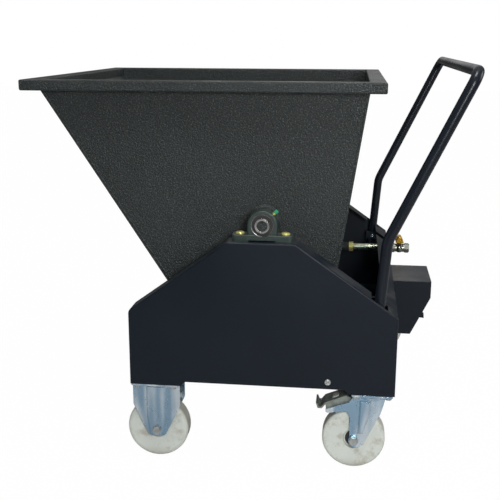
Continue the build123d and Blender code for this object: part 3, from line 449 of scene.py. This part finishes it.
class CART_OT_finishes(Operator):
    """Builds the paints and platings and lays them on the frame's nodes"""
    bl_idname = "cart.finishes"
    bl_label = "Finishes"

    def execute(self, context):
        finish = context.scene.cart_finish
        GROUPS["Textured Paint"] = group_textured_paint()
        GROUPS["Satin Paint"] = group_smooth_paint()
        GROUPS["Settled Dust"] = group_dust()
        GROUPS["Plated Steel"] = group_plating()
        steel = (0.56, 0.57, 0.58)
        made = {
            "hopper_paint": hopper_paint(finish),
            "frame_paint": satin_paint(finish, "Frame satin paint", finish.frame_paint, 0.40, 0.0),
            "handle_paint": satin_paint(finish, "Handle satin paint", finish.handle_paint,
                                        0.30, 2.0),
            "bolt_zinc": plated("Bolt zinc", (0.50, 0.52, 0.50), 0.35, 0.7, 60.0, 0.8, None, 0.3),
            # Castor zinc: painted light and shaded reflection stripes up the fork legs.
            "zinc": plated("Castor zinc", finish.zinc, 0.22, 0.85, 12.0, 0.92, (30, 30, 4), 0.08),
            "yellow_zinc": plated("Yellow zinc", finish.yellow_zinc, 0.32, 0.85, 60.0, 0.6,
                                  None, 0.1),
            # Drain pipe: painted reflection stripes along the pipe.
            "drain_pipe": plated("Drain pipe zinc", (0.42, 0.44, 0.32), 0.28, 0.85, 30.0, 0.95,
                                 (6, 90, 90), 0.1),
            # Near-black colour painted where the hub recesses and the swivel race lie in shade.
            "painted_recess_shade": plated("Bearing recess shade", (0.035, 0.036, 0.038), 0.4, 0.7, 60.0, 0.3),
            "green_iron": cast_enamel(finish),
            "bearing_steel": plated("Ground steel", (0.62, 0.62, 0.60), 0.2, 0.85, 60.0, 1.0),
            "plain_steel": plated("Turned steel", steel, 0.35, 0.8, 40.0, 1.0),
            "nylon": wheel_nylon(finish),
            "nickel_brass": plated("Nickelled brass", (0.21, 0.22, 0.19), 0.30, 0.75, 90.0, 1.0),
            "gold_handle": plated("Gilt die casting", finish.valve_gold, 0.3, 0.7, 120.0, 0.8),
            "rubber": black_rubber(),
            "green_plastic": soft_cap(finish),
            "pale_plate": satin_paint(finish, "Pedal plate", (0.42, 0.45, 0.42), 0.4, 7.0, 0.6),
            "pedal_paint": plated("Pedal steel", finish.pedal, 0.45, 0.6, 45.0, 0.35),
        }
        slots = {part["node"]: part["material_slot"] for part in frame["record"]["subparts"]}
        slots["push_handle"] = "handle_paint"
        slots["drain_pipe"] = "drain_pipe"
        # The swivel race gets the near-black painted shade.
        slots["swivel_heads"] = "painted_recess_shade"
        for name in ("front_axles", "rear_axle_left", "rear_axle_right", "castor_bolts",
                     "brace_bolts"):
            slots[name] = "bolt_zinc"
        # The wheel bearings get the near-black painted shade of the hub recesses.
        for name in ("front_bearings_left", "front_bearings_right", "rear_bearings_left",
                     "rear_bearings_right"):
            slots[name] = "painted_recess_shade"
        for name, obj in frame["nodes"].items():
            for slot in obj.material_slots:
                slot.material = made[slots[name]]
        FINISHES.update(made)
        return {"FINISHED"}


# ---------------------------------------------------------------- welds and plates
BEAD_SIDES = 8
RIPPLE_DEPTH = 0.22           # share of a bead's radius
SMOOTH_ANGLE = math.radians(50)


def settle(name, finish, body):
    """Fixes the new piece's place in its mesh, gives it its finish and lets it ride on a body."""
    piece = bpy.context.object
    piece.name = name
    bpy.ops.object.transform_apply(location=True, rotation=True, scale=True)
    bpy.ops.object.shade_smooth_by_angle(angle=SMOOTH_ANGLE)
    piece.data.materials.append(FINISHES[finish])
    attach(piece, body)
    return piece


def swell_rings(chosen, amount):
    """In edit mode, swells the chosen rings of vertices, which makes a bead's ripples."""
    bpy.ops.object.mode_set(mode="EDIT")
    bpy.ops.mesh.select_all(action="DESELECT")
    bpy.ops.object.mode_set(mode="OBJECT")
    for i, vertex in enumerate(bpy.context.object.data.vertices):
        vertex.select = chosen(i, vertex)
    bpy.ops.object.mode_set(mode="EDIT")
    bpy.ops.transform.shrink_fatten(value=amount)
    bpy.ops.object.mode_set(mode="OBJECT")


def ring_bead(welds, centre, radius, lean=0.0):
    """A rippled weld round a part that stands out along Y, or along X when leaned 90 degrees."""
    bpy.ops.object.select_all(action="DESELECT")
    steps = 2 * round(math.pi * radius / welds.ripple)
    turn = (math.pi / 2, 0.0, 0.0) if not lean else (0.0, lean, 0.0)
    bpy.ops.mesh.primitive_torus_add(location=centre, rotation=turn, major_radius=radius,
                                     minor_radius=welds.bead, major_segments=steps,
                                     minor_segments=BEAD_SIDES)
    swell_rings(lambda i, vertex: (i // BEAD_SIDES) % 2 == 0, -welds.bead * RIPPLE_DEPTH)


def line_bead(welds, start, end):
    """A rippled weld along a straight seam."""
    start, end = Vector(start), Vector(end)
    run = end - start
    bpy.ops.object.select_all(action="DESELECT")
    bpy.ops.mesh.primitive_cylinder_add(vertices=BEAD_SIDES, radius=welds.bead, depth=run.length,
                                        location=(start + end) / 2,
                                        rotation=run.to_track_quat("Z", "Y").to_euler())
    bead = bpy.context.object
    bpy.ops.object.mode_set(mode="EDIT")
    bpy.ops.mesh.select_mode(type="EDGE")
    bpy.ops.mesh.select_all(action="DESELECT")
    bpy.ops.object.mode_set(mode="OBJECT")
    points = bead.data.vertices
    for edge in bead.data.edges:
        a, b = (points[i].co.z for i in edge.vertices)
        edge.select = abs(a - b) > run.length / 2
    bpy.ops.object.mode_set(mode="EDIT")
    steps = 2 * round(run.length / welds.ripple / 2)
    bpy.ops.mesh.subdivide(number_cuts=steps - 1)
    bpy.ops.mesh.select_mode(type="VERT")
    bpy.ops.object.mode_set(mode="OBJECT")
    pitch = run.length / steps
    swell_rings(lambda i, vertex: round((vertex.co.z + run.length / 2) / pitch) % 2 == 0,
                -welds.bead * RIPPLE_DEPTH)


class CART_OT_hopper_welds(Operator):
    """Lays welds round the trunnion pads and the drain socket, and in the hopper's seams"""
    bl_idname = "cart.hopper_welds"
    bl_label = "Hopper Welds"

    def execute(self, context):
        welds = context.scene.cart_welds
        for side in ("left", "right"):
            low, high = box_of(f"trunnion_{side}")
            middle = (low + high) / 2
            y = low.y if side == "right" else high.y
            ring_bead(welds, (middle.x, y, middle.z), (high.z - low.z) / 2)
            settle(f"trunnion_weld_{side}", "hopper_paint", "hopper")
        low, high = box_of("drain_stub")
        middle = (low + high) / 2
        front, floor_front, floor_rear, rear = self.seam_corners()
        lean = math.atan2(rear.z - floor_rear.z, rear.x - floor_rear.x)
        share = (middle.z - floor_rear.z) / (rear.z - floor_rear.z)
        x = floor_rear.x + share * (rear.x - floor_rear.x)
        ring_bead(welds, (x + welds.bead, middle.y, middle.z), (high.z - low.z) / 2, lean)
        settle("drain_socket_weld", "hopper_paint", "hopper")
        inset = welds.bead * 0.4
        for side in ("left", "right"):
            low, high = box_of(f"hopper_side_{side}")
            y = high.y - inset if side == "left" else low.y + inset
            seams = (("front", front, floor_front), ("floor", floor_front, floor_rear),
                     ("rear", floor_rear, rear))
            for name, a, b in seams:
                line_bead(welds, (a.x, y, a.z), (b.x, y, b.z))
                settle(f"seam_weld_{name}_{side}", "hopper_paint", "hopper")
        return {"FINISHED"}

    @staticmethod
    def seam_corners():
        """Corners of the folded sheet's inner face: front top, floor front, floor rear, rear top."""
        low, high = box_of("hopper_wrap")
        points = [v.co for v in frame["nodes"]["hopper_wrap"].data.vertices]
        sheet = box_of("hopper_side_right")[1].y - box_of("hopper_side_right")[0].y
        floor = [p.x for p in points if p.z < low.z + 0.0002]
        wide = (high.x - max(floor)) / (high.z - low.z)
        steep = (min(floor) - low.x) / (high.z - low.z)
        return (Vector((low.x + 2 * sheet, 0, high.z)),
                Vector((min(floor) + sheet * steep, 0, low.z + 1.5 * sheet)),
                Vector((max(floor) - sheet * wide, 0, low.z + 1.5 * sheet)),
                Vector((high.x - sheet, 0, high.z)))


class CART_OT_frame_welds(Operator):
    """Lays the welds that hold the latch housing on the rear panel"""
    bl_idname = "cart.frame_welds"
    bl_label = "Frame Welds"

    def execute(self, context):
        welds = context.scene.cart_welds
        low, high = box_of("latch_housing")
        x = box_of("rear_panel")[1].x + welds.bead * 0.3
        for side, y in (("left", low.y), ("right", high.y)):
            line_bead(welds, (x, y, low.z), (x, y, high.z))
            settle(f"housing_weld_{side}", "frame_paint", "frame")
        line_bead(welds, (x, low.y, high.z), (x, high.y, high.z))
        settle("housing_weld_top", "frame_paint", "frame")
        return {"FINISHED"}


class CART_OT_pedal_plates(Operator):
    """Adds a blank pale plate on the slope of each brake pedal"""
    bl_idname = "cart.pedal_plates"
    bl_label = "Pedal Plates"

    def execute(self, context):
        plates = context.scene.cart_plates
        for side, facing in (("left", 1), ("right", -1)):
            low, high = box_of(f"brake_pedal_{side}")
            tip = low.x if facing > 0 else high.x
            place = (tip + facing * plates.from_tip, (low.y + high.y) / 2, high.z - plates.drop)
            bpy.ops.object.select_all(action="DESELECT")
            bpy.ops.mesh.primitive_cube_add(size=1, location=place,
                                            rotation=(0, -facing * plates.slope, 0),
                                            scale=(plates.length, plates.width, plates.thick))
            bpy.ops.object.transform_apply(location=False, rotation=False, scale=True)
            bpy.ops.object.mode_set(mode="EDIT")
            bpy.ops.mesh.select_all(action="SELECT")
            bpy.ops.mesh.bevel(offset=plates.thick * 0.35, segments=3, affect="EDGES")
            bpy.ops.object.mode_set(mode="OBJECT")
            settle(f"pedal_plate_{side}", "pale_plate", f"brake_{side}")
        return {"FINISHED"}


class CART_OT_stage(Operator):
    """Adds the floor, the soft lights and the camera"""
    bl_idname = "cart.stage"
    bl_label = "Stage"

    def execute(self, context):
        stage = context.scene.cart_stage
        context.scene.world = self.studio_walls(stage)
        bpy.ops.object.select_all(action="DESELECT")
        bpy.ops.mesh.primitive_plane_add(size=30, location=(0, 0, 0))
        floor = context.object
        floor.name = "studio_floor"
        floor.data.materials.append(self.floor_paper(stage))
        self.soft_light("Key", stage.key, 0.6, (0.75, -2.35, 1.15), (0.1, 0.0, 0.5))
        self.soft_light("Top", stage.top, 0.8, (0.30, -1.0, 3.0), (0.0, -0.3, 0.2))
        self.soft_light("Side", stage.edge * 1.8, 1.4, (3.0, 0.2, 1.6), (0.1, 0.0, 0.5))
        self.soft_light("Left", stage.edge * 0.15, 1.0, (-2.4, -1.4, 0.8), (-0.2, -0.2, 0.3))
        self.soft_light("Back", stage.edge * 0.6, 2.0, (0.5, 2.8, 2.2), (0.0, 0.0, 0.6))
        eye = bpy.data.cameras.new("Camera")
        eye.lens = stage.lens
        eye.sensor_width = 36.0
        camera = bpy.data.objects.new("Camera", eye)
        context.scene.collection.objects.link(camera)
        turn = Matrix.Rotation(stage.camera_turn, 4, "Z")
        tilt = Matrix.Rotation(math.pi / 2 - stage.camera_tilt, 4, "X")
        roll = Matrix.Rotation(stage.camera_roll, 4, "Z")
        camera.matrix_world = Matrix.Translation(stage.camera_place) @ turn @ tilt @ roll
        context.scene.camera = camera
        context.scene.view_settings.view_transform = "Standard"
        return {"FINISHED"}

    @staticmethod
    def studio_walls(stage):
        """Dim walls under a bright ceiling; straight ahead the backdrop is white."""
        world = bpy.data.worlds.new("Pale studio")
        world.use_nodes = True
        tree = world.node_tree
        sky = tree.nodes["Background"]
        way = add(tree, "ShaderNodeTexCoord").outputs["Generated"]
        up = add(tree, "ShaderNodeSeparateXYZ", Vector=way)
        level = spread(tree, up.outputs["Z"], 0.05, 0.8, stage.horizon, stage.ceiling)
        shown = add(tree, "ShaderNodeLightPath").outputs["Is Camera Ray"]
        sky.inputs["Color"].default_value = (1.0, 1.0, 1.0, 1.0)
        tree.links.new(maths(tree, "MAXIMUM", level, shown), sky.inputs["Strength"])
        return world

    @staticmethod
    def floor_paper(stage):
        """Pale paper, overexposed towards plain white."""
        paper, tree, shader = new_material("Studio floor", 0.8)
        grey = stage.floor_grey
        shader.inputs["Base Color"].default_value = (grey, grey, grey, 1.0)
        glow = add(tree, "ShaderNodeEmission", Color=(1.0, 1.0, 1.0, 1.0), Strength=1.0)
        shown = add(tree, "ShaderNodeLightPath").outputs["Is Camera Ray"]
        blend = add(tree, "ShaderNodeMixShader",
                    Fac=maths(tree, "MULTIPLY", shown, stage.floor_glow))
        tree.links.new(shader.outputs["BSDF"], blend.inputs[1])
        tree.links.new(glow.outputs["Emission"], blend.inputs[2])
        tree.links.new(blend.outputs["Shader"], tree.nodes["Material Output"].inputs["Surface"])
        return paper

    @staticmethod
    def soft_light(name, power, size, place, target):
        lamp = bpy.data.lights.new(name, "AREA")
        lamp.energy = power
        lamp.size = size
        light = bpy.data.objects.new(name, lamp)
        bpy.context.scene.collection.objects.link(light)
        light.location = place
        aim = Vector(target) - Vector(place)
        light.rotation_euler = aim.to_track_quat("-Z", "Y").to_euler()


OPERATORS = (CART_OT_finishes, CART_OT_hopper_welds, CART_OT_frame_welds, CART_OT_pedal_plates,
             CART_OT_stage)


class CART_PT_panel(Panel):
    """Lists the cart's steps"""
    bl_label = "Hopper Cart"
    bl_space_type = "VIEW_3D"
    bl_region_type = "UI"
    bl_category = "Hopper Cart"

    def draw(self, context):
        for step in OPERATORS:
            self.layout.operator(step.bl_idname)
        for name in SETTINGS:
            settings = getattr(context.scene, name)
            box = self.layout.box()
            for key in settings.__annotations__:
                box.prop(settings, key)


SETTINGS = {"cart_finish": CartFinish, "cart_welds": CartWelds, "cart_plates": CartPlates,
            "cart_stage": CartStage}


def register():
    for cls in (*SETTINGS.values(), *OPERATORS, CART_PT_panel):
        bpy.utils.register_class(cls)
    for key, cls in SETTINGS.items():
        setattr(bpy.types.Scene, key, PointerProperty(type=cls))


def unregister():
    for key in SETTINGS:
        delattr(bpy.types.Scene, key)
    for cls in (CART_PT_panel, *reversed(OPERATORS), *reversed(SETTINGS.values())):
        bpy.utils.unregister_class(cls)


def main():
    register()
    for step in OPERATORS:
        group, name = step.bl_idname.split(".")
        getattr(getattr(bpy.ops, group), name)()


if __name__ == "__main__":
    main()
